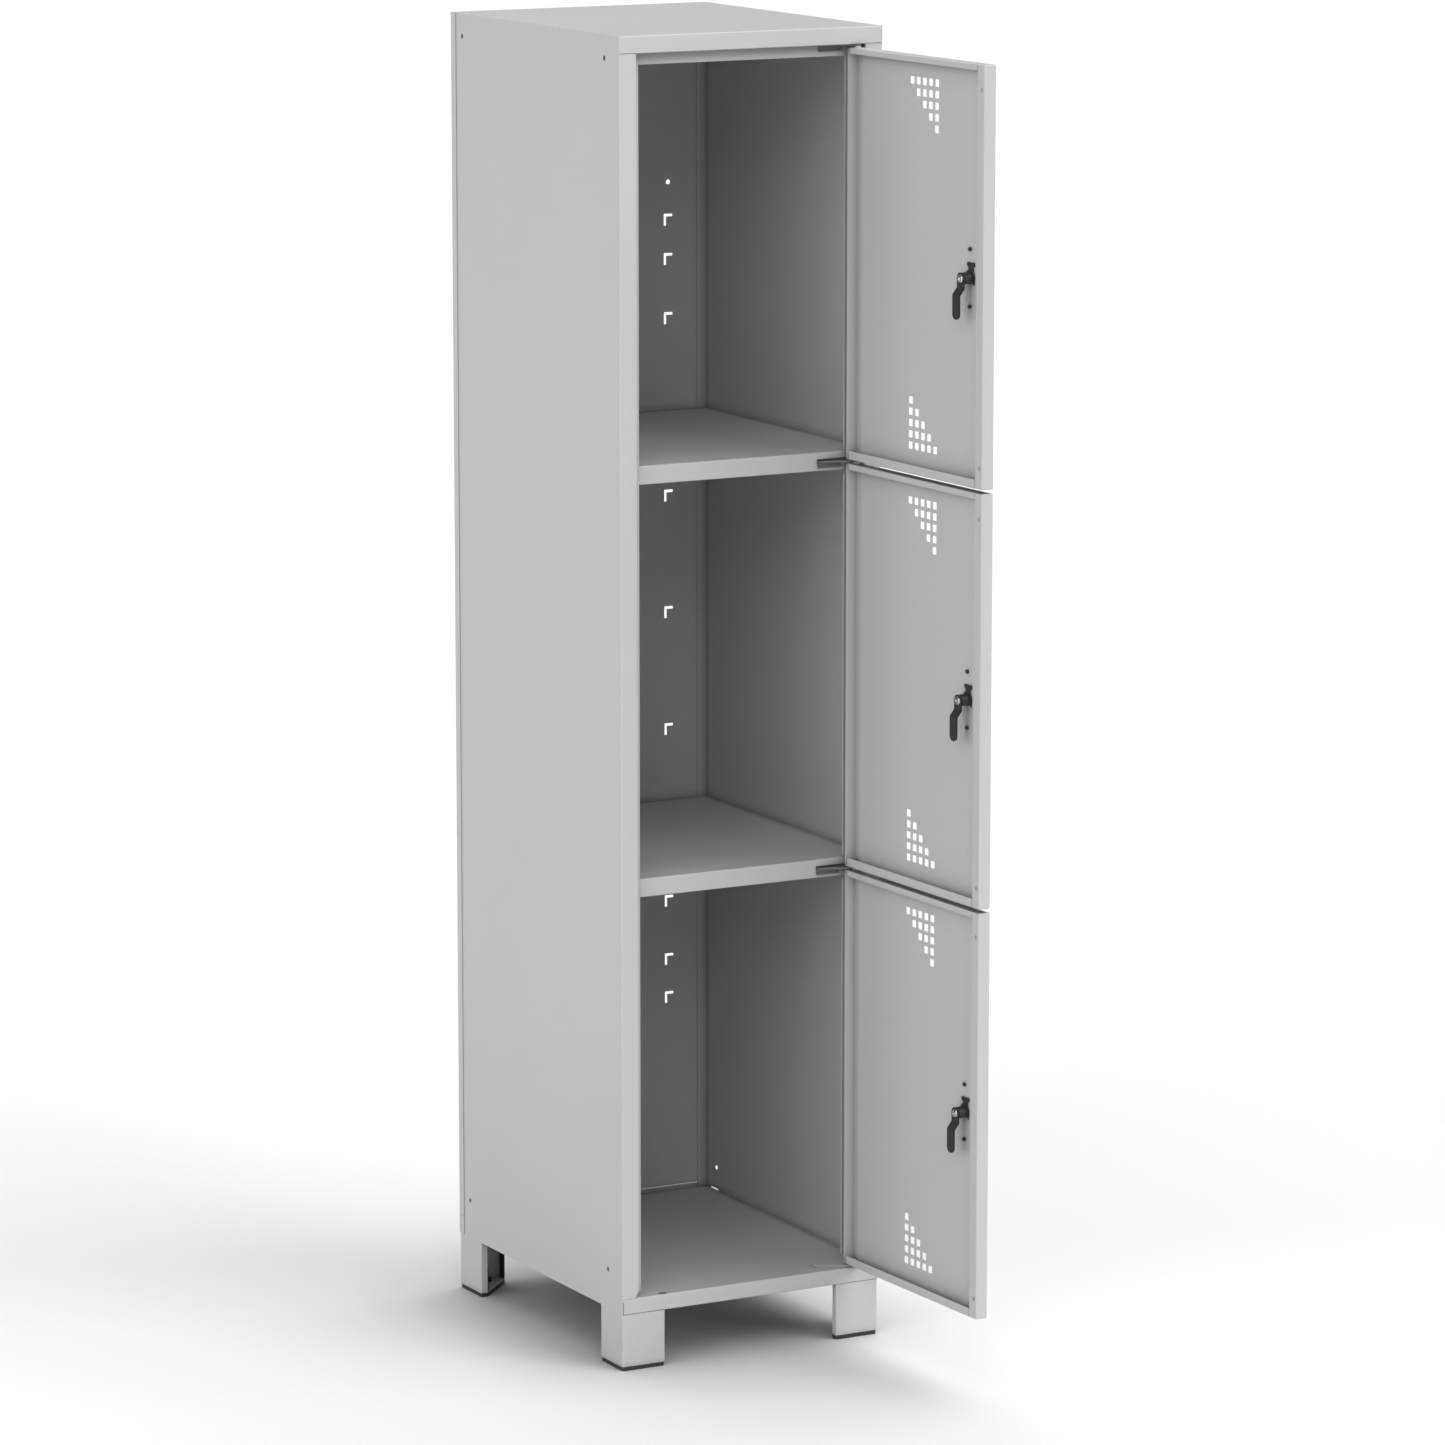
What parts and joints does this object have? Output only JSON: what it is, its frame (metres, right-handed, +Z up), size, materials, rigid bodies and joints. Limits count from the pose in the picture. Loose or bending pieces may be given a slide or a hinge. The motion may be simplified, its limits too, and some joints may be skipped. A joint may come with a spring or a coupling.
{
  "type": "compartment locker",
  "caption": "Grey steel compartment locker with stacked compartments, hinged perforated doors, cranked cam locks and legs on black foot caps.",
  "frame": {"origin": "on the floor under the middle of the carcass, which is the centre of the four floor fixing holes", "axes": "+X to the right seen from the front, +Y to the back, +Z up"},
  "size_m": [0.402, 0.8302, 1.82],
  "materials": {
    "powder_coat": "fine-textured satin powder coat, light grey",
    "shelf_coat": "fine-textured satin powder coat, light grey",
    "door_coat": "fine-textured satin powder coat, light grey",
    "black_plastic": "matt black",
    "black_steel": "black, slightly shiny",
    "lock_metal": "satin nickel",
    "zinc_steel": "bright zinc",
    "white_nylon": "natural nylon"
  },
  "bodies": {
    "carcass": {"back_panel": "powder_coat", "bracket_rivets": "zinc_steel", "floor_panel": "shelf_coat", "foot_cap_front_left": "black_plastic", "foot_cap_front_right": "black_plastic", "foot_cap_rear_left": "black_plastic", "foot_cap_rear_right": "black_plastic", "header_strip": "powder_coat", "hinge_bracket_bottom": "powder_coat", "hinge_bracket_lower": "powder_coat", "hinge_bracket_top": "powder_coat", "hinge_bracket_upper": "powder_coat", "hinge_pin_bottom": "zinc_steel", "hinge_pin_lower": "zinc_steel", "hinge_pin_top": "zinc_steel", "hinge_pin_upper": "zinc_steel", "left_side_panel": "powder_coat", "leg_base_front_left": "powder_coat", "leg_base_front_right": "powder_coat", "leg_base_rear_left": "powder_coat", "leg_base_rear_right": "powder_coat", "lower_shelf": "shelf_coat", "rear_rail": "powder_coat", "right_side_panel": "powder_coat", "top_panel": "powder_coat", "upper_shelf": "shelf_coat"},
    "door_lower": {"door_pan_lower": "door_coat", "lock_barrel_lower": "lock_metal", "lock_clip_lower": "black_steel", "handle_plate_lower": "black_plastic", "handle_screws_lower": "black_steel", "hinge_bushes_lower": "white_nylon"},
    "cam_lower": {"lock_core_lower": "lock_metal", "lock_cam_lower": "black_steel", "cam_screw_lower": "black_steel"},
    "door_middle": {"door_pan_middle": "door_coat", "lock_barrel_middle": "lock_metal", "lock_clip_middle": "black_steel", "handle_plate_middle": "black_plastic", "handle_screws_middle": "black_steel", "hinge_bushes_middle": "white_nylon"},
    "cam_middle": {"lock_core_middle": "lock_metal", "lock_cam_middle": "black_steel", "cam_screw_middle": "black_steel"},
    "door_upper": {"door_pan_upper": "door_coat", "lock_barrel_upper": "lock_metal", "lock_clip_upper": "black_steel", "handle_plate_upper": "black_plastic", "handle_screws_upper": "black_steel", "hinge_bushes_upper": "white_nylon"},
    "cam_upper": {"lock_core_upper": "lock_metal", "lock_cam_upper": "black_steel", "cam_screw_upper": "black_steel"}
  },
  "joints": [
    {"name": "door_hinge_lower", "type": "hinge", "parent": "carcass", "child": "door_lower", "pos_m": [0.165, -0.245, 0.38475], "axis": [0, 0, 1], "range_deg": [-92, 16]},
    {"name": "cam_turn_lower", "type": "hinge", "parent": "door_lower", "child": "cam_lower", "pos_m": [0.16471, -0.52318, 0.37975], "axis": [0.9994, 0.0349, 0], "range_deg": [-90, 0]},
    {"name": "door_hinge_middle", "type": "hinge", "parent": "carcass", "child": "door_middle", "pos_m": [0.165, -0.245, 0.94875], "axis": [0, 0, 1], "range_deg": [-92, 16]},
    {"name": "cam_turn_middle", "type": "hinge", "parent": "door_middle", "child": "cam_middle", "pos_m": [0.16471, -0.52318, 0.94375], "axis": [0.9994, 0.0349, 0], "range_deg": [-90, 0]},
    {"name": "door_hinge_upper", "type": "hinge", "parent": "carcass", "child": "door_upper", "pos_m": [0.165, -0.245, 1.51275], "axis": [0, 0, 1], "range_deg": [-92, 16]},
    {"name": "cam_turn_upper", "type": "hinge", "parent": "door_upper", "child": "cam_upper", "pos_m": [0.16471, -0.52318, 1.50775], "axis": [0.9994, 0.0349, 0], "range_deg": [-90, 0]}
  ]
}
